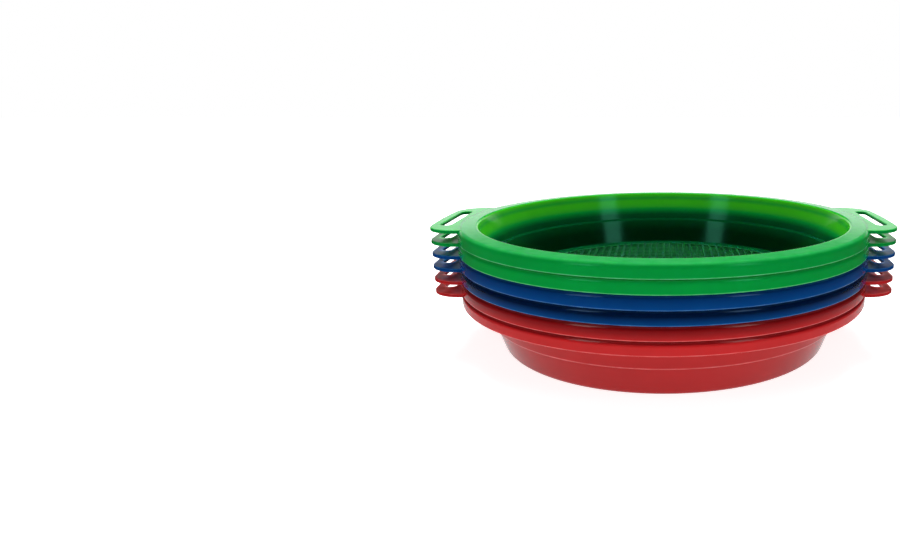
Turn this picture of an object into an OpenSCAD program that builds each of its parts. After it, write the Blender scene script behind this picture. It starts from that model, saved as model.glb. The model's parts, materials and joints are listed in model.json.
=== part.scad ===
// A nest of six round sand sieves, each a shallow bowl with a wide rim, two
// slotted handles and a floor of square mesh. Millimetres, +Z up, the foot of
// the lowest sieve stands on Z = 0 and the handles lie along X.

/* [Rim] */
// Outside diameter of the rim
rim_d = 215.9; // [180:0.1:260]
// Width of the rim from its inner edge to its outside
rim_w = 10.1; // [9:0.1:18]
// Fall of the rim's top from its crest to its outer corner
rim_fall = 0.4; // [0.2:0.1:2]
// Depth of the skirt below the rim's crest
skirt_h = 6.75; // [6:0.05:12]
// Thickness of the skirt
skirt_t = 1.5; // [1:0.1:2.5]
// Radius of the rim's outer corner
rim_corner_r = 2.4; // [1.6:0.1:2.8]
// Radius of the rim's inner edge
rim_edge_r = 1.2; // [0.4:0.1:1.5]
// Radius of the edges at the bottom of the skirt
skirt_edge_r = 0.5; // [0.1:0.05:0.6]

/* [Bowl] */
// Height of one sieve from its foot to the crest of its rim
sieve_h = 32.8; // [28:0.1:60]
// Thickness of the wall, measured level
wall_side_t = 1.05; // [0.8:0.05:2]
// Thickness of the rim and the ledge, measured upright
wall_t = 1.4; // [1:0.1:2.2]
// Depth of the ledge in the wall below the crest
ledge_depth = 16.5; // [12:0.5:22]
// Width of the ledge
ledge_w = 1.8; // [1.6:0.1:5]
// Fall of the ledge towards the middle
ledge_fall = 0.5; // [0.2:0.1:1.5]
// Radius of the ledge's corners
ledge_r = 0.7; // [0.2:0.05:0.8]
// How far the wall runs in from the ledge to the floor
cone_run = 5.2; // [4:0.1:12]
// Radius of the corner between wall and foot
foot_corner_r = 3; // [1:0.1:4]
// Width of the foot's lip and of the plain edge of the floor on it
lip_w = 8.4; // [2:0.1:12]
// Thickness of the foot's lip
lip_t = 0.8; // [0.5:0.1:1.5]

/* [Mesh floor] */
// Spacing of the mesh, hole to hole
mesh_pitch = 4.233; // [3:0.001:8]
// Width of the mesh bars
mesh_bar_w = 1.5; // [0.8:0.05:1.8]
// Thickness of the mesh floor
mesh_t = 1.5; // [1:0.1:2.5]
// Diameter of the plain spot in the middle of the mesh
gate_d = 9; // [6:0.5:16]
// Gap between the lower and the upper layer of bars
mesh_layer_gap = 0.1; // [0.05:0.05:0.3]
// Gap between the floor's edge and the wall
mesh_gap = 0.05; // [0.02:0.01:0.2]

/* [Handles] */
// How far a handle reaches out from the rim
handle_out = 11.4; // [9:0.1:16]
// Length of a handle along the rim, at its root
handle_root_l = 74; // [64:1:100]
// Length of a handle at its outer corners
handle_tip_l = 71; // [62:1:80]
// Rise of the handle's outer edge towards its middle
handle_bulge = 1; // [0.6:0.1:3]
// Thickness of a handle
handle_t = 1.8; // [1.2:0.1:3]
// Radius of a handle's outer corners
handle_corner_r = 15; // [6:0.5:16]
// Length of the slot in a handle
slot_l = 44; // [30:0.5:48]
// Width of the slot
slot_w = 5.6; // [4.6:0.1:6]
// Distance from the rim to the slot
slot_off = 1.5; // [1:0.1:2.5]

/* [Nest] */
// Gap between a skirt and the rim that it rests on
nest_gap = 0.1; // [0.1:0.05:1]
// Gap between the walls of two nested sieves, measured level
nest_side = 0.45; // [0.3:0.05:1.5]

/* [Hidden] */

red_colour = "#b82a2e";
blue_colour = "#0b4fa8";
green_colour = "#0c9a3c";

// Steps in each rounded corner, and facets of a full turn
arc_steps = 5;
$fn = 96;

// Radius of the rim, inside and out
rim_r = rim_d / 2;
inner_r = rim_r - rim_w;

// Where a skirt rests on the rim below it, and how far apart nested sieves sit
seat_r = rim_r - skirt_t;
seat_fall = rim_fall * (seat_r - inner_r) / rim_w;
nest_pitch = skirt_h - seat_fall + nest_gap;

// Slope of the upper wall, just enough to let the sieves nest that close
upper_slope = (wall_side_t + nest_side) / (nest_pitch - wall_t);

// Inside of the wall: foot of the upper wall, edge of the ledge, foot of the cone
ledge_z = sieve_h - ledge_depth;
ledge_out_r = inner_r - upper_slope * ledge_depth;
ledge_in_r = ledge_out_r - ledge_w;
cone_z = ledge_z - ledge_fall;
base_r = ledge_in_r - cone_run;
cone_slope = cone_run / (cone_z - lip_t);
lip_r = base_r - lip_w;

// The outside of the wall is the inside moved out and down
foot_r = ledge_in_r + wall_side_t - cone_slope * (cone_z - wall_t);

// Size of the floor, of a bar and of the space between two bars
mesh_r = base_r - mesh_gap;
bar_h = (mesh_t - mesh_layer_gap) / 2;
hole_w = mesh_pitch - mesh_bar_w;
row_count = ceil(lip_r / mesh_pitch);

// Places in a handle
handle_z = sieve_h - rim_fall - handle_t;
handle_u = rim_r + handle_out;
slot_u = rim_r + slot_off + slot_w / 2;

function unit(v) = v / norm(v);
function turn(a) = a > 180 ? a - 360 : a < -180 ? a + 360 : a;

// Points that round the corner at b, between a and c, with radius r
function corner(a, b, c, r) = r == 0 ? [b] :
    let (u = unit(a - b), w = unit(c - b), half = acos(u * w) / 2,
         m = b + unit(u + w) * r / sin(half),
         p = b + u * r / tan(half) - m, q = b + w * r / tan(half) - m,
         start = atan2(p.y, p.x), sweep = turn(atan2(q.y, q.x) - start))
    [for (i = [0:arc_steps]) m + r * [cos(start + sweep * i / arc_steps),
                                      sin(start + sweep * i / arc_steps)]];

// An outline of [point, corner radius] pairs with its corners rounded
function rounded(p) = [for (i = [0:len(p) - 1])
    each corner(p[(i + len(p) - 1) % len(p)][0], p[i][0], p[(i + 1) % len(p)][0], p[i][1])];

// Section of the bowl: foot, outside of the wall, skirt, rim, inside of the wall
bowl_section = [
    [[lip_r, 0], 0],
    [[foot_r, 0], foot_corner_r],
    [[ledge_in_r + wall_side_t, cone_z - wall_t], ledge_r],
    [[ledge_out_r + wall_side_t, ledge_z - wall_t], ledge_r],
    [[inner_r + wall_side_t, sieve_h - wall_t], ledge_r],
    [[seat_r, sieve_h - rim_fall - wall_t], skirt_edge_r],
    [[seat_r, sieve_h - skirt_h], skirt_edge_r],
    [[rim_r, sieve_h - skirt_h], skirt_edge_r],
    [[rim_r, sieve_h - rim_fall], rim_corner_r],
    [[inner_r, sieve_h], rim_edge_r],
    [[ledge_out_r, ledge_z], ledge_r],
    [[ledge_in_r, cone_z], ledge_r],
    [[base_r, lip_t], 0],
    [[lip_r, lip_t], 0]];

// Outline of a handle on the +X side, from inside the rim outwards
root_u = sqrt(rim_r * rim_r - handle_root_l * handle_root_l / 4);
bulge_r = handle_tip_l * handle_tip_l / (8 * handle_bulge);
handle_outline = [
    [[root_u, -handle_root_l / 2], 0],
    [[handle_u - handle_bulge, -handle_tip_l / 2], handle_corner_r],
    [[handle_u + handle_bulge, 0], bulge_r / 2],
    [[handle_u - handle_bulge, handle_tip_l / 2], handle_corner_r],
    [[root_u, handle_root_l / 2], 0]];

module slot() {
    translate([slot_u, 0]) {
        square([slot_w, slot_l - slot_w], center = true);
        for (s = [-1, 1]) translate([0, s * (slot_l - slot_w) / 2]) circle(d = slot_w);
    }
}

// A flat tab that grows out of the skirt, with one slot for the fingers
module handle() {
    translate([0, 0, handle_z]) linear_extrude(handle_t) difference() {
        polygon(rounded(handle_outline));
        circle(r = rim_r - rim_corner_r);
        slot();
    }
}

module sieve_bowl() {
    rotate_extrude() polygon(rounded(bowl_section));
    for (a = [0, 180]) rotate([0, 0, a]) handle();
}

// One layer of the mesh floor: bars along X inside a plain edge, and the plain spot
module mesh_layer() {
    linear_extrude(bar_h) {
        difference() {
            circle(r = mesh_r);
            intersection() {
                circle(r = lip_r);
                for (i = [-row_count:row_count - 1])
                    let (y = (i + 1 / 2) * mesh_pitch)
                    if (abs(y) + hole_w / 2 < lip_r)
                        translate([0, y]) square([2 * lip_r, hole_w], center = true);
            }
        }
        circle(d = gate_d);
    }
}

// The mesh floor lies on the foot's lip: two layers of bars that cross, joined at
// the plain edge and at the plain spot, so square holes go right up to the lip
module sieve_mesh() {
    translate([0, 0, lip_t]) {
        mesh_layer();
        translate([0, 0, bar_h]) linear_extrude(mesh_layer_gap) {
            difference() {
                circle(r = mesh_r);
                circle(r = lip_r);
            }
            circle(d = gate_d);
        }
        translate([0, 0, mesh_t - bar_h]) rotate([0, 0, 90]) mesh_layer();
    }
}

// Nested places count up from the lowest sieve
module nested(level) translate([0, 0, level * nest_pitch]) children();

module red_lower_bowl() color(red_colour) nested(0) sieve_bowl();
module red_lower_mesh() color(red_colour) nested(0) sieve_mesh();
module red_upper_bowl() color(red_colour) nested(1) sieve_bowl();
module red_upper_mesh() color(red_colour) nested(1) sieve_mesh();
module blue_lower_bowl() color(blue_colour) nested(2) sieve_bowl();
module blue_lower_mesh() color(blue_colour) nested(2) sieve_mesh();
module blue_upper_bowl() color(blue_colour) nested(3) sieve_bowl();
module blue_upper_mesh() color(blue_colour) nested(3) sieve_mesh();
module green_lower_bowl() color(green_colour) nested(4) sieve_bowl();
module green_lower_mesh() color(green_colour) nested(4) sieve_mesh();
module green_upper_bowl() color(green_colour) nested(5) sieve_bowl();
module green_upper_mesh() color(green_colour) nested(5) sieve_mesh();

red_lower_bowl();
red_lower_mesh();
red_upper_bowl();
red_upper_mesh();
blue_lower_bowl();
blue_lower_mesh();
blue_upper_bowl();
blue_upper_mesh();
green_lower_bowl();
green_lower_mesh();
green_upper_bowl();
green_upper_mesh();
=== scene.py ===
import json
import math

import bpy
import numpy as np
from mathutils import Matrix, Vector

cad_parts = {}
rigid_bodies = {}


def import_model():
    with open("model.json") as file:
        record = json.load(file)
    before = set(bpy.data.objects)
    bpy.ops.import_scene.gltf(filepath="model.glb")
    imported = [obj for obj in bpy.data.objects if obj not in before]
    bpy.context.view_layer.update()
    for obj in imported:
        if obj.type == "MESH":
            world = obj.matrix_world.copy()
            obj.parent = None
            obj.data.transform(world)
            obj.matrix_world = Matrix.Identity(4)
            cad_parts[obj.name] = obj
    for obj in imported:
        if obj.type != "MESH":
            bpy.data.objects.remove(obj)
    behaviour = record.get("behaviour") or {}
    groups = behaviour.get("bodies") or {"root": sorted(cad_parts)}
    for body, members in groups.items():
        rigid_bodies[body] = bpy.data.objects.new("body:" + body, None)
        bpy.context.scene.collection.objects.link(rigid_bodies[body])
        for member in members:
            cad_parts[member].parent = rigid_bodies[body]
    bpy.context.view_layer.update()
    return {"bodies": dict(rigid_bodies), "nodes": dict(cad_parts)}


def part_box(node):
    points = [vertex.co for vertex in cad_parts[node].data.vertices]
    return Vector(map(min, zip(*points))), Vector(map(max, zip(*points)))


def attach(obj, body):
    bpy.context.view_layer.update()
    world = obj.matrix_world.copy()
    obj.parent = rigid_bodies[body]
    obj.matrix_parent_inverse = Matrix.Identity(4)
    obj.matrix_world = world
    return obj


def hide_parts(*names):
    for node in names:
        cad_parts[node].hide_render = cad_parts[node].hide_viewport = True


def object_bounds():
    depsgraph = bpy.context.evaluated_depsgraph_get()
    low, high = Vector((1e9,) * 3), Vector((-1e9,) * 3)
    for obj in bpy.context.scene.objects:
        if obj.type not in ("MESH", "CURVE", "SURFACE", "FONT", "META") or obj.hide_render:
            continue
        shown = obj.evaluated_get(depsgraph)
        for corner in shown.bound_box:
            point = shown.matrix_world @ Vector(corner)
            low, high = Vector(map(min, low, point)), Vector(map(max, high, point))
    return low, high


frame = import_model()
print("frame loaded with", len(frame["nodes"]), "nodes")

# What every sieve takes from the frame: rim radius, height of its foot, top of the nest and nested step
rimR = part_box("red_lower_bowl")[1].y
footHeights = {body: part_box(body + "_bowl")[0].z for body in frame["bodies"]}
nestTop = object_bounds()[1].z
nestPitch = footHeights["red_upper"] - footHeights["red_lower"]

# Outer corners of a smaller radius than this get a painted highlight, in metres
highlightedR = 0.0008


# A straight ramp from 0 at the start to 1 at the end, and a bell of height 1
def ramp(values, start, end):
    return np.clip((values - start) / (end - start), 0, 1)


def bell(values, middle, wide):
    return np.exp(-((values - middle) / wide) ** 2)


# A closed surface has its quads turned outwards by the sign of the volume that they enclose
def outwards(points, quads, edge, paintedShading):
    a, b, c, d = (points[quads[:, k]] for k in range(4))
    volume = np.sum(np.cross(b - a, c - a) * a) + np.sum(np.cross(c - a, d - a) * a)
    return points, quads if volume > 0 else quads[:, ::-1], edge, paintedShading


# Several surfaces in one: their points follow each other and their quads count on
def joined(surfaces):
    starts = np.cumsum([0] + [len(s[0]) for s in surfaces])[:-1]
    points = np.concatenate([s[0] for s in surfaces])
    quads = np.concatenate([s[1] + k for s, k in zip(surfaces, starts)])
    edge = np.concatenate([s[2] for s in surfaces])
    paintedShading = np.concatenate([s[3] for s in surfaces])
    return points, quads, edge, paintedShading


# Places arrays of points and quads in a new mesh, with two values at each point: the share of a painted
# highlight, from 0 to 1, and a level of painted light and shade, which is 0 for the plain colour, up to
# 2 for painted shade deep inside a bowl and below 0 for painted light where light would come through
def meshPiece(name, points, faces, edge, paintedShading):
    mesh = bpy.data.meshes.new(name)
    mesh.vertices.add(len(points))
    mesh.vertices.foreach_set("co", points.astype(np.float32).ravel())
    mesh.loops.add(faces.size)
    mesh.loops.foreach_set("vertex_index", faces.astype(np.int32).ravel())
    mesh.polygons.add(len(faces))
    mesh.polygons.foreach_set("loop_start", np.arange(0, faces.size, 4, dtype=np.int32))
    mesh.polygons.foreach_set("use_smooth", np.ones(len(faces), dtype=bool))
    mesh.update(calc_edges=True)
    mesh.validate()
    for key, values in (("edge", edge), ("paintedShading", paintedShading)):
        attribute = mesh.attributes.new(key, "FLOAT", "POINT")
        attribute.data.foreach_set("value", values.astype(np.float32))
    piece = bpy.data.objects.new(name, mesh)
    bpy.context.scene.collection.objects.link(piece)
    return piece


# Quads of a grid of rows by columns whose rows and columns both close on themselves
def closedGrid(rows, columns):
    i, j = np.meshgrid(np.arange(rows), np.arange(columns), indexing="ij")
    iNext = (i + 1) % rows
    jNext = (j + 1) % columns
    corners = [i * columns + j, iNext * columns + j, iNext * columns + jNext, i * columns + jNext]
    return np.stack(corners, axis=-1).reshape(-1, 4)


# Quads that fill a ring of an even number of points, like the gaps between the rungs of a ladder
def ladder(count):
    k = np.arange(count // 2 - 1)
    return np.stack([k, count - 1 - k, count - 2 - k, k + 1], axis=-1)


# A closed outline with every corner an arc that is tangent to both sides. Each side also gets
# points at set shares of its length, so that flat faces keep flat shading. The second result is 1
# on the small outer arcs that get a painted highlight.
def roundedOutline(corners, steps, shares):
    corners = np.asarray(corners, float)
    p = corners[:, :2]
    radius = corners[:, 2]
    back = np.roll(p, 1, axis=0) - p
    ahead = np.roll(p, -1, axis=0) - p
    back /= np.linalg.norm(back, axis=1, keepdims=True)
    ahead /= np.linalg.norm(ahead, axis=1, keepdims=True)
    half = np.arccos(np.clip(np.sum(back * ahead, axis=1), -1, 1)) / 2
    middle = back + ahead
    middle /= np.linalg.norm(middle, axis=1, keepdims=True)
    centre = p + middle * (radius / np.sin(half))[:, None]
    cut = (radius / np.tan(half))[:, None]
    first = p + back * cut - centre
    last = p + ahead * cut - centre
    start = np.arctan2(first[:, 1], first[:, 0])
    sweep = (np.arctan2(last[:, 1], last[:, 0]) - start + math.pi) % (2 * math.pi) - math.pi
    turn = start[:, None] + sweep[:, None] * np.linspace(0, 1, steps + 1)
    arcs = centre[:, None] + radius[:, None, None] * np.stack([np.cos(turn), np.sin(turn)], axis=-1)
    nextStart = np.roll(arcs[:, 0], -1, axis=0)
    t = np.asarray(shares)[None, :, None]
    sides = arcs[:, -1][:, None] * (1 - t) + nextStart[:, None] * t
    outline = np.concatenate([arcs, sides], axis=1)
    onArc = np.concatenate([np.ones((len(p), steps + 1)), np.zeros((len(p), len(shares)))], axis=1)
    highlighted = np.where((sweep > 0) & (radius < highlightedR), 1.0, 0.0)[:, None]
    return outline.reshape(-1, 2), (onArc * highlighted).ravel()


# A closed section carried once round the axis, with the values of its points
def turned(section, edge, paintedShading, turns):
    angle = np.linspace(0, 2 * math.pi, turns, endpoint=False)[:, None]
    x = np.cos(angle) * section[:, 0]
    y = np.sin(angle) * section[:, 0]
    z = np.broadcast_to(section[:, 1], x.shape)
    points = np.stack([x, y, z], axis=-1).reshape(-1, 3)
    quads = closedGrid(turns, len(section))
    return outwards(points, quads, np.tile(edge, turns), np.tile(paintedShading, turns))


# Section of one bowl in metres, and where its painted light and shade change. The painted glow, the
# painted shadow line and the painted shade inside count down from the crest in nested steps, and the
# painted shade on the skirt in heights of the skirt.
bowl = dict(
    height=0.0328, rimW=0.0101, rimFall=0.0004, rimCornerR=0.0024, rimEdgeR=0.0012,
    skirtH=0.00675, skirtT=0.0015, skirtEdgeR=0.0005, wallSideT=0.00105, wallT=0.0014, nestSide=0.00045,
    ledgeDepth=0.0165, ledgeW=0.0018, ledgeFall=0.0005, ledgeR=0.0007,
    coneRun=0.0052, footCornerR=0.003, lipW=0.0084, lipT=0.0008, lipEdgeR=0.0002,
    insideShade=1.0, glowFrom=1.2, glowTo=2.0, glow=1.9, lineAt=0.55, lineW=0.09, lineDim=1.1, darkAt=3.6,
    seatAt=0.0012, seatW=0.0007, shadeFrom=0.4, shadeTo=0.95, cornerFall=0.0009, insideSlack=0.0002,
    ledgeRub=1.0, skirtHighlight=0.75, otherHighlight=0.3, flangeHighlight=0.25,
    turns=256, cornerSteps=5, shares=np.linspace(0.03, 0.97, 9),
)
innerR = rimR - bowl["rimW"]
upperSlope = (bowl["wallSideT"] + bowl["nestSide"]) / (nestPitch - bowl["wallT"])
ledgeZ = bowl["height"] - bowl["ledgeDepth"]
ledgeOutR = innerR - upperSlope * bowl["ledgeDepth"]
ledgeInR = ledgeOutR - bowl["ledgeW"]
coneZ = ledgeZ - bowl["ledgeFall"]
baseR = ledgeInR - bowl["coneRun"]
coneSlope = bowl["coneRun"] / (coneZ - bowl["lipT"])
lipR = baseR - bowl["lipW"]


# The bowl is its rounded section, carried once round the axis. Three painted shades darken its outside:
# a painted shadow line round the rim's corner where another sieve sits on it, a painted shade over the
# whole skirt, and a painted shade that fades down it.
def bowlSurface(seatShade, skirtShade, shade):
    b = bowl
    skirtInR = rimR - b["skirtT"]
    skirtZ = b["height"] - b["skirtH"]
    rimZ = b["height"] - b["rimFall"]
    footR = ledgeInR + b["wallSideT"] - coneSlope * (coneZ - b["wallT"])
    section = dict(
        lipUnder=(lipR, 0, b["lipEdgeR"]),
        foot=(footR, 0, b["footCornerR"]),
        coneBack=(ledgeInR + b["wallSideT"], coneZ - b["wallT"], b["ledgeR"]),
        ledgeBack=(ledgeOutR + b["wallSideT"], ledgeZ - b["wallT"], b["ledgeR"]),
        rimBack=(innerR + b["wallSideT"], b["height"] - b["wallT"], b["ledgeR"]),
        skirtRoot=(skirtInR, rimZ - b["wallT"], b["skirtEdgeR"]),
        skirtBack=(skirtInR, skirtZ, b["skirtEdgeR"]),
        skirtFront=(rimR, skirtZ, b["skirtEdgeR"]),
        rimCorner=(rimR, rimZ, b["rimCornerR"]),
        rimEdge=(innerR, b["height"], b["rimEdgeR"]),
        ledge=(ledgeOutR, ledgeZ, b["ledgeR"]),
        cone=(ledgeInR, coneZ, b["ledgeR"]),
        base=(baseR, b["lipT"], b["lipEdgeR"]),
        lip=(lipR, b["lipT"], b["lipEdgeR"]),
    )
    outline, onArc = roundedOutline(list(section.values()), b["cornerSteps"], b["shares"])
    # each point belongs to the corner before it
    corner = np.repeat(list(section), len(outline) // len(section))
    inside = np.isin(corner, ("rimEdge", "ledge", "cone", "base"))
    inside &= outline[:, 0] < innerR + b["insideSlack"]
    fall = b["height"] - outline[:, 1]

    # inside, painted light near the rim stands in for light that comes through, crossed by a painted
    # shadow line, and painted shade darkens the wall down to the floor
    paintedGlow = ramp(fall / nestPitch, b["glowTo"], b["glowFrom"])
    shadowLine = bell(fall / nestPitch, b["lineAt"], b["lineW"])
    dark = ramp(fall / nestPitch, b["glowTo"], b["darkAt"])
    inner = b["insideShade"] + dark - paintedGlow * (b["glow"] - b["lineDim"] * shadowLine)

    # outside, the skirt's painted shade sets in just below the flat of the rim
    down = ramp(fall, b["rimFall"], b["rimFall"] + b["cornerFall"])
    fading = ramp(fall / b["skirtH"], b["shadeTo"], b["shadeFrom"])
    onSkirt = np.isin(corner, ("skirtFront", "rimCorner"))
    outer = np.where(onSkirt, (skirtShade + shade * fading) * down, 0)
    outer += np.where(corner == "rimCorner", seatShade * bell(fall, b["seatAt"], b["seatW"]), 0)

    # painted highlights on the edges, and a faint painted highlight on the flat of the rim
    highlight = np.where(corner == "skirtFront", b["skirtHighlight"], b["otherHighlight"])
    highlight = np.where(corner == "ledgeBack", b["ledgeRub"], highlight)
    flange = np.where(corner == "rimCorner", b["flangeHighlight"] * (1 - down), 0)
    edge = np.where(inside, 0, np.maximum(highlight * onArc, flange))
    return turned(outline, edge, np.where(inside, inner, outer), b["turns"])


# Plan and section of one handle, in metres, and the painted shade on its sides
handle = dict(
    out=0.0114, rootL=0.074, tipL=0.071, bulge=0.001, thick=0.0018, cornerR=0.015, rootR=1e-5,
    slotL=0.044, slotW=0.0056, slotOff=0.0015, edgeR=0.00045, blockW=0.01, rootClear=1e-4, sideShade=0.5,
    sideSteps=40, endSteps=40, cornerSteps=8, rootSteps=60, edgeSteps=4,
    outlineShares=(0.5,), edgeShares=(0.05, 0.95), parallel=1e-12, slack=1e-9,
)


# Where rays from points in the plan first meet an outline: each ray is met with all sides at once
def rayLengths(starts, rays, outline):
    h = handle
    side = np.roll(outline, -1, axis=0) - outline
    cross = rays[:, None, 0] * side[None, :, 1] - rays[:, None, 1] * side[None, :, 0]
    cross = np.where(np.abs(cross) < h["parallel"], h["parallel"], cross)
    gap = outline[None] - starts[:, None]
    along = (gap[..., 0] * side[None, :, 1] - gap[..., 1] * side[None, :, 0]) / cross
    share = (gap[..., 0] * rays[:, None, 1] - gap[..., 1] * rays[:, None, 0]) / cross
    hit = (share >= -h["slack"]) & (share <= 1 + h["slack"]) & (along > 0)
    return np.where(hit, along, np.inf).min(axis=1)


# A tab with a slot is a ring: the first parameter goes round the slot, the second round the
# rounded section between the slot and the tab's outline, which starts on a circle inside the skirt.
# Its level top gets the given painted light and painted highlight, and its sides a painted shade.
def handleSurface(side, paintedShading, highlight):
    h = handle
    rootU = math.sqrt(rimR ** 2 - h["rootL"] ** 2 / 4)
    tipU = rimR + h["out"]
    sunk = rimR - bowl["rimCornerR"]
    bulgeR = h["tipL"] ** 2 / (8 * h["bulge"])
    tab = [
        (rootU, -h["rootL"] / 2, h["rootR"]),
        (tipU - h["bulge"], -h["tipL"] / 2, h["cornerR"]),
        (tipU + h["bulge"], 0, bulgeR / 2),
        (tipU - h["bulge"], h["tipL"] / 2, h["cornerR"]),
        (rootU, h["rootL"] / 2, h["rootR"]),
    ]
    outline = roundedOutline(tab, h["cornerSteps"], h["outlineShares"])[0]
    halfRoot = math.asin(h["rootL"] / 2 / rimR)
    arc = np.linspace(halfRoot, -halfRoot, h["rootSteps"])
    root = np.stack([sunk * np.cos(arc), sunk * np.sin(arc)], axis=-1)
    free = outline[outline[:, 0] > rootU + h["rootClear"]]
    outline = np.concatenate([free, root])

    straight = h["slotL"] - h["slotW"]
    slotU = rimR + h["slotOff"] + h["slotW"] / 2
    run = np.linspace(-0.5, 0.5, h["sideSteps"], endpoint=False) * straight
    fan = np.linspace(0, math.pi, h["endSteps"], endpoint=False)
    heading = np.concatenate([0 * run, fan, 0 * run + math.pi, math.pi + fan])
    lift = np.concatenate([run, 0.5 * straight + 0 * fan, -run, -0.5 * straight + 0 * fan])
    rays = np.stack([np.cos(heading), np.sin(heading)], axis=-1)
    spine = np.stack([slotU + 0 * lift, lift], axis=-1)
    reach = rayLengths(spine, rays, outline) - h["slotW"] / 2

    top = bowl["height"] - bowl["rimFall"]
    low = top - h["thick"]
    e = h["edgeR"]
    wide = h["blockW"]
    block = [(0, low, e), (wide, low, e), (wide, top, e), (0, top, e)]
    section = roundedOutline(block, h["edgeSteps"], h["edgeShares"])[0]
    outer = section[:, 0] > wide / 2
    offset = np.where(outer, section[:, 0] - wide, section[:, 0])
    distance = h["slotW"] / 2 + offset[None] + np.where(outer[None], reach[:, None], 0)
    plan = spine[:, None] + rays[:, None] * distance[..., None]
    z = np.broadcast_to(section[:, 1], distance.shape)
    points = np.stack([side * plan[..., 0], side * plan[..., 1], z], axis=-1).reshape(-1, 3)
    level = section[:, 1] > top - e / 2
    edges = np.tile(np.where(level, highlight, 0), len(spine))
    paintedShadings = np.tile(np.where(level, paintedShading, h["sideShade"]), len(spine))
    return outwards(points, closedGrid(len(spine), len(section)), edges, paintedShadings)


# Bars, edge ring and middle spot of one mesh floor, in metres, with their painted shade and painted
# highlight
netting = dict(
    pitch=0.004233, barW=0.0015, thick=0.0015, edgeR=0.0003, spotR=0.0045, spotEdgeR=0.0004,
    layerLap=0.00003, ringLap=0.0006, wallGap=0.00005, paintedShading=1.1, highlight=0.2, ringTurns=192, spotTurns=48,
    barSteps=3, ringSteps=4, spotSteps=4, barShares=(0.5,), ringShares=(0.05, 0.5, 0.95),
)


# Straight bars of one rounded section, each as long as the ring lets it be
def barSurface(low, high, alongY):
    m = netting
    half = m["barW"] / 2
    e = m["edgeR"]
    block = [(-half, low, e), (half, low, e), (half, high, e), (-half, high, e)]
    section, onArc = roundedOutline(block, m["barSteps"], m["barShares"])
    count = math.ceil(lipR / m["pitch"])
    place = np.arange(-count, count + 1) * m["pitch"]
    place = place[np.abs(place) < lipR - half]
    reach = np.sqrt((lipR + m["ringLap"]) ** 2 - place ** 2)
    ends = np.stack([-reach, reach], axis=-1)
    along = np.broadcast_to(ends[:, :, None], (len(place), 2, len(section)))
    across = np.broadcast_to(place[:, None, None] + section[:, 0], along.shape)
    z = np.broadcast_to(section[:, 1], along.shape)
    order = [across, along, z] if alongY else [along, across, z]
    points = np.stack(order, axis=-1).reshape(-1, 3)
    n = len(section)
    j = np.arange(n)
    strip = np.stack([j, (j + 1) % n, n + (j + 1) % n, n + j], axis=-1)
    bar = np.concatenate([strip, ladder(n), n + ladder(n)[:, ::-1]])
    quads = (bar[None] + (np.arange(len(place)) * 2 * n)[:, None, None]).reshape(-1, 4)
    edge = m["highlight"] * np.tile(onArc, 2 * len(place))
    return outwards(points, quads, edge, np.full(len(points), m["paintedShading"]))


# The plain edge: a ring of rounded section about the axis
def ringSurface(low, high):
    m = netting
    e = m["edgeR"]
    outR = baseR - m["wallGap"]
    block = [(lipR, low, e), (outR, low, e), (outR, high, e), (lipR, high, e)]
    section, onArc = roundedOutline(block, m["ringSteps"], m["ringShares"])
    return turned(section, m["highlight"] * onArc, np.full(len(section), m["paintedShading"]), m["ringTurns"])


# The spot in the middle: a disc with rounded edges, its two flat faces closed by strips of quads
def spotSurface(low, high):
    m = netting
    e = m["spotEdgeR"]
    n = m["spotTurns"]
    bend = np.linspace(0, math.pi / 2, m["spotSteps"] + 1)
    r = m["spotR"] - e + e * np.concatenate([np.sin(bend), np.cos(bend)])
    z = np.concatenate([low + e - e * np.cos(bend), high - e + e * np.sin(bend)])
    angle = np.linspace(0, 2 * math.pi, n, endpoint=False)
    x = r[:, None] * np.cos(angle)
    y = r[:, None] * np.sin(angle)
    points = np.stack([x, y, np.broadcast_to(z[:, None], x.shape)], axis=-1).reshape(-1, 3)
    last = (len(r) - 1) * n
    side = closedGrid(len(r), n)[:last, ::-1]
    quads = np.concatenate([side, ladder(n), last + ladder(n)[:, ::-1]])
    return outwards(points, quads, np.full(len(points), m["highlight"]), np.full(len(points), m["paintedShading"]))


# Two layers of bars that cross and meet at half the thickness, the ring and the spot
def meshSurface():
    m = netting
    low = bowl["lipT"]
    high = low + m["thick"]
    split = low + m["thick"] / 2
    lower = barSurface(low, split + m["layerLap"], False)
    upper = barSurface(split - m["layerLap"], high, True)
    return joined([lower, upper, ringSurface(low, high), spotSurface(low, high)])


# Colours of the three plastics: plain, painted shade deep in a bowl, darkest painted shade, painted
# light through the plastic, painted highlight, the distances that light spreads inside, and the tint of
# reflections
plastics = dict(
    red=dict(
        colour=(0.56, 0.018, 0.02), deepShade=(0.26, 0.006, 0.008), dark=(0.15, 0.003, 0.004),
        paintedGlow=(0.72, 0.05, 0.03), highlighted=(1.0, 0.22, 0.22),
        spread=(1.0, 0.15, 0.12), sheen=(1.0, 0.85, 0.83),
    ),
    blue=dict(
        colour=(0.0015, 0.055, 0.23), deepShade=(0.001, 0.03, 0.13), dark=(0.0003, 0.007, 0.034),
        paintedGlow=(0.01, 0.17, 0.55), highlighted=(0.08, 0.24, 0.5),
        spread=(0.12, 0.4, 1.0), sheen=(0.3, 0.6, 1.0),
    ),
    green=dict(
        colour=(0.002, 0.36, 0.05), deepShade=(0.001, 0.1, 0.025), dark=(0.0003, 0.025, 0.006),
        paintedGlow=(0.06, 0.6, 0.014), highlighted=(0.16, 0.66, 0.32),
        spread=(0.35, 1.0, 0.2), sheen=(0.15, 1.0, 0.6),
    ),
)

# What the plastics share: scale and detail of three noises, and what they do
finish = dict(
    noises=dict(Shade=(28, 3), Gloss=(190, 4), Height=(420, 2)),
    drift=(0.88, 1.12), roughness=(0.06, 0.2), bumpStrength=0.25, bumpHeight=0.00004,
    refraction=1.36, spreadShare=0.4, spreadLength=0.003, shadingRange=(-1, 2),
)


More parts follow.
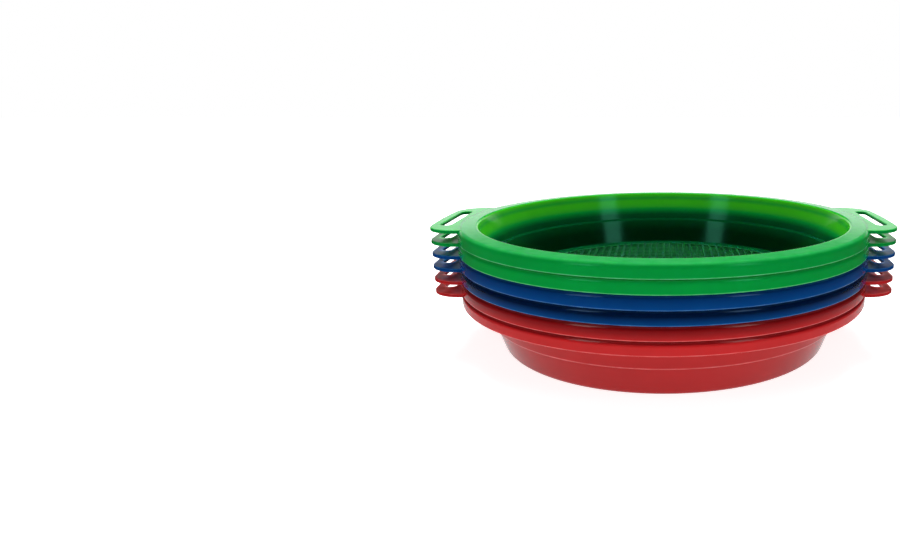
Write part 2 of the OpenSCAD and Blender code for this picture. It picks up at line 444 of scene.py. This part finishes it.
def newNode(tree, kind, **values):
    node = tree.nodes.new(kind)
    for key, value in values.items():
        setattr(node, key, value)
    return node


# A socket takes a link from another socket, or a plain value
def feed(tree, source, socket):
    if isinstance(source, bpy.types.NodeSocket):
        tree.links.new(source, socket)
    else:
        socket.default_value = source


def feedAll(tree, node, sources):
    for key, source in sources.items():
        feed(tree, source, node.inputs[key])


# Carries values from one range to another, straight or with soft ends
def mapRange(tree, source, old, new, kind="LINEAR"):
    node = newNode(tree, "ShaderNodeMapRange", interpolation_type=kind)
    names = ("Value", "From Min", "From Max", "To Min", "To Max")
    feedAll(tree, node, dict(zip(names, (source, *old, *new))))
    return node.outputs["Result"]


def calculate(tree, operation, *sources):
    node = newNode(tree, "ShaderNodeMath", operation=operation)
    feedAll(tree, node, dict(enumerate(sources)))
    return node.outputs[0]


# The mix node keeps its numbers and its colours at different places
def mixNumbers(tree, share, first, second):
    node = newNode(tree, "ShaderNodeMix")
    feedAll(tree, node, {0: share, 2: first, 3: second})
    return node.outputs[0]


def mixColours(tree, share, first, second, blend="MIX"):
    node = newNode(tree, "ShaderNodeMix", data_type="RGBA", blend_type=blend)
    feedAll(tree, node, {0: share, 6: first, 7: second})
    return node.outputs[2]


# Moulded skin: a slow drift of shade, fine grain in the gloss and a slight ripple, from three noises
def skinGroup():
    tree = bpy.data.node_groups.new("mouldedSkin", "ShaderNodeTree")
    tree.interface.new_socket("Vector", in_out="INPUT", socket_type="NodeSocketVector")
    for name in finish["noises"]:
        tree.interface.new_socket(name, in_out="OUTPUT", socket_type="NodeSocketFloat")
    source = newNode(tree, "NodeGroupInput")
    result = newNode(tree, "NodeGroupOutput")
    for name, (scale, detail) in finish["noises"].items():
        noise = newNode(tree, "ShaderNodeTexNoise")
        feedAll(tree, noise, dict(Vector=source.outputs["Vector"], Scale=scale, Detail=detail))
        tree.links.new(noise.outputs["Fac"], result.inputs[name])
    return tree


# The colour follows the painted light and shade level from painted light through the plastic over plain
# and painted shade deep in a bowl to the darkest painted shade, drifts with the skin, and turns to the
# painted highlight colour by the highlight share times gloss
def plasticMaterial(name, skin):
    f = finish
    look = {key: (*value, 1) for key, value in plastics[name].items()}
    material = bpy.data.materials.new(name + "Plastic")
    material.use_nodes = True
    tree = material.node_tree
    place = newNode(tree, "ShaderNodeTexCoord")
    surface = newNode(tree, "ShaderNodeGroup", node_tree=skin)
    tree.links.new(place.outputs["Object"], surface.inputs["Vector"])

    paintedShading = newNode(tree, "ShaderNodeAttribute", attribute_name="paintedShading")
    colours = newNode(tree, "ShaderNodeValToRGB")
    feed(tree, mapRange(tree, paintedShading.outputs["Fac"], f["shadingRange"], (0, 1)), colours.inputs["Fac"])
    least, most = f["shadingRange"]
    stops = colours.color_ramp.elements
    stops[0].color = look["paintedGlow"]
    stops[1].color = look["dark"]
    stops.new((0 - least) / (most - least)).color = look["colour"]
    stops.new((1 - least) / (most - least)).color = look["deepShade"]
    drift = mapRange(tree, surface.outputs["Shade"], (0, 1), f["drift"])
    tinted = mixColours(tree, 1, colours.outputs["Color"], drift, "MULTIPLY")
    edge = newNode(tree, "ShaderNodeAttribute", attribute_name="edge")
    highlightMix = calculate(tree, "MULTIPLY", edge.outputs["Fac"], surface.outputs["Gloss"])

    bump = newNode(tree, "ShaderNodeBump")
    ripple = surface.outputs["Height"]
    feedAll(tree, bump, dict(Strength=f["bumpStrength"], Distance=f["bumpHeight"], Height=ripple))
    feedAll(tree, tree.nodes["Principled BSDF"], {
        "Base Color": mixColours(tree, highlightMix, tinted, look["highlighted"]),
        "Roughness": mapRange(tree, surface.outputs["Gloss"], (0, 1), f["roughness"]),
        "Normal": bump.outputs["Normal"],
        "IOR": f["refraction"],
        "Specular Tint": look["sheen"],
        "Subsurface Weight": f["spreadShare"],
        "Subsurface Radius": plastics[name]["spread"],
        "Subsurface Scale": f["spreadLength"],
    })
    return material


skin = skinGroup()
finishes = {name: plasticMaterial(name, skin) for name in plastics}
print("plastics made:", ", ".join(finishes))

# Painted shade on the outside of each bowl, and painted light and painted highlight on the top of its
# handles
bowlShading = dict(
    red_lower=dict(seatShade=1.5, skirtShade=0, shade=0),
    red_upper=dict(seatShade=1.2, skirtShade=0.2, shade=1),
    blue_lower=dict(seatShade=1.6, skirtShade=0.1, shade=1.9),
    blue_upper=dict(seatShade=0.6, skirtShade=0, shade=0.8),
    green_lower=dict(seatShade=0.1, skirtShade=0.25, shade=0),
    green_upper=dict(seatShade=0, skirtShade=0.3, shade=0),
)
handleTops = dict(
    red=dict(paintedShading=-0.5, highlight=0.8),
    blue=dict(paintedShading=-0.55, highlight=0.7),
    green=dict(paintedShading=-0.25, highlight=0.4),
)

meshShape = meshSurface()
for body, height in footHeights.items():
    colour = body.split("_")[0]
    tabs = [handleSurface(side, **handleTops[colour]) for side in (1, -1)]
    bowlShape = joined([bowlSurface(**bowlShading[body])] + tabs)
    for part, shape in (("bowl", bowlShape), ("mesh", meshShape)):
        node = body + "_" + part
        piece = meshPiece(node + "_skin", shape[0] + [0, 0, height], *shape[1:])
        piece.data.materials.append(finishes[colour])
        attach(piece, body)
        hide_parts(node)
    print("sieve made:", body, "with", len(bowlShape[1]), "and", len(meshShape[1]), "quads")

# The camera stands on the -Y side, a little above the nest, and looks down a little. Its axis meets the
# picture off its middle, at a place given in pixels.
camera = dict(
    back=0.37, above=0.0629, pitchDeg=15.77, focalPx=688, sensorMm=36, clipStart=0.01,
    imageW=900, imageH=541, axisX=663.8, axisY=291,
)


def placeCamera():
    c = camera
    data = bpy.data.cameras.new("camera")
    data.sensor_width = c["sensorMm"]
    data.lens = c["focalPx"] / c["imageW"] * c["sensorMm"]
    data.shift_x = (c["imageW"] / 2 - c["axisX"]) / c["imageW"]
    data.shift_y = (c["axisY"] - c["imageH"] / 2) / c["imageW"]
    data.clip_start = c["clipStart"]
    eye = bpy.data.objects.new("camera", data)
    eye.location = (0, -c["back"], nestTop + c["above"])
    eye.rotation_euler = (math.radians(90 - c["pitchDeg"]), 0, 0)
    bpy.context.scene.collection.objects.link(eye)
    bpy.context.scene.camera = eye


placeCamera()
print("camera placed")

# Two tall soft boxes in front, which show as streaks inside the top sieve, and two wide lamps that
# don't show in reflections: one above and behind, one low in front
lamps = dict(
    left=dict(azimuth=-44, elevation=34, distance=1.1, wide=0.23, tall=0.5, power=1.2),
    right=dict(azimuth=44, elevation=34, distance=1.1, wide=0.23, tall=0.5, power=1.2),
    above=dict(azimuth=180, elevation=62, distance=1.2, wide=0.9, tall=0.9, power=25, mirrored=False),
    front=dict(azimuth=0, elevation=4, distance=1.3, wide=1.6, tall=0.3, power=4.4, mirrored=False),
)


def placeLamp(name, azimuth, elevation, distance, wide, tall, power, mirrored=True):
    data = bpy.data.lights.new(name, "AREA")
    data.shape = "RECTANGLE"
    data.size = wide
    data.size_y = tall
    data.energy = power
    lamp = bpy.data.objects.new(name, data)
    a = math.radians(azimuth)
    e = math.radians(elevation)
    lamp.location = (
        distance * math.sin(a) * math.cos(e),
        -distance * math.cos(a) * math.cos(e),
        nestTop / 2 + distance * math.sin(e),
    )
    lamp.rotation_euler = (math.radians(90) - e, 0, a)
    lamp.visible_glossy = mirrored
    bpy.context.scene.collection.objects.link(lamp)


for name, values in lamps.items():
    placeLamp(name, **values)
print("lamps placed:", len(lamps))

# World: white to the camera. Reflections see white low behind the object and a dark room elsewhere.
# Diffuse light is one plain level. The limits are the Z and the Y of a ray's direction.
world = dict(plain=0.18, dark=0.03, whiteBelow=0.155, darkAbove=0.24, darkBefore=0.7, whiteBehind=0.9)


def studioWorld():
    w = world
    studio = bpy.data.worlds.new("studio")
    bpy.context.scene.world = studio
    studio.use_nodes = True
    tree = studio.node_tree
    path = newNode(tree, "ShaderNodeLightPath").outputs
    place = newNode(tree, "ShaderNodeTexCoord")
    ray = newNode(tree, "ShaderNodeSeparateXYZ")
    tree.links.new(place.outputs["Generated"], ray.inputs[0])
    height = (w["whiteBelow"], w["darkAbove"])
    paintedShading = (w["darkBefore"], w["whiteBehind"])
    low = mapRange(tree, ray.outputs["Z"], height, (1, w["dark"]), "SMOOTHSTEP")
    behind = mapRange(tree, ray.outputs["Y"], paintedShading, (w["dark"], 1), "SMOOTHSTEP")
    mirrored = calculate(tree, "MULTIPLY", low, behind)
    unseen = mixNumbers(tree, path["Is Glossy Ray"], w["plain"], mirrored)
    level = mixNumbers(tree, path["Is Camera Ray"], unseen, 1)
    feedAll(tree, tree.nodes["Background"], dict(Color=(1, 1, 1, 1), Strength=level))


studioWorld()

# The floor is white to the camera, adds a little fill to diffuse light, and in reflections it fades to
# dark away from the object
floor = dict(
    half=4.0, colour=0.86, roughness=0.9, fill=0.25, whiteR=0.13, darkR=0.25, liftR=0.6,
    lift=(0.8, 0.92), mirror=(0.75, 0.04),
)


def layFloor():
    f = floor
    h = f["half"]
    mesh = bpy.data.meshes.new("floor")
    mesh.from_pydata([(-h, -h, 0), (h, -h, 0), (h, h, 0), (-h, h, 0)], [], [(0, 1, 2, 3)])
    sheet = bpy.data.objects.new("floor", mesh)
    bpy.context.scene.collection.objects.link(sheet)
    material = bpy.data.materials.new("paleFloor")
    material.use_nodes = True
    tree = material.node_tree
    shader = tree.nodes["Principled BSDF"]
    path = newNode(tree, "ShaderNodeLightPath").outputs
    place = newNode(tree, "ShaderNodeTexCoord")
    away = newNode(tree, "ShaderNodeVectorMath", operation="LENGTH")
    tree.links.new(place.outputs["Object"], away.inputs[0])
    distance = away.outputs["Value"]
    lift = mapRange(tree, distance, (f["whiteR"], f["liftR"]), f["lift"], "SMOOTHSTEP")
    fill = calculate(tree, "MULTIPLY", path["Is Diffuse Ray"], f["fill"])
    feedAll(tree, shader, {
        "Base Color": (f["colour"], f["colour"], f["colour"], 1),
        "Roughness": f["roughness"],
        "Emission Color": (1, 1, 1, 1),
        "Emission Strength": calculate(tree, "MULTIPLY_ADD", path["Is Camera Ray"], lift, fill),
    })
    mirrored = newNode(tree, "ShaderNodeEmission")
    fade = mapRange(tree, distance, (f["whiteR"], f["darkR"]), f["mirror"], "SMOOTHSTEP")
    feed(tree, fade, mirrored.inputs["Strength"])
    mix = newNode(tree, "ShaderNodeMixShader")
    feedAll(tree, mix, {0: path["Is Glossy Ray"], 1: shader.outputs[0], 2: mirrored.outputs[0]})
    tree.links.new(mix.outputs[0], tree.nodes["Material Output"].inputs["Surface"])
    mesh.materials.append(material)


layFloor()
bpy.context.scene.view_settings.view_transform = "Standard"
print("studio set")
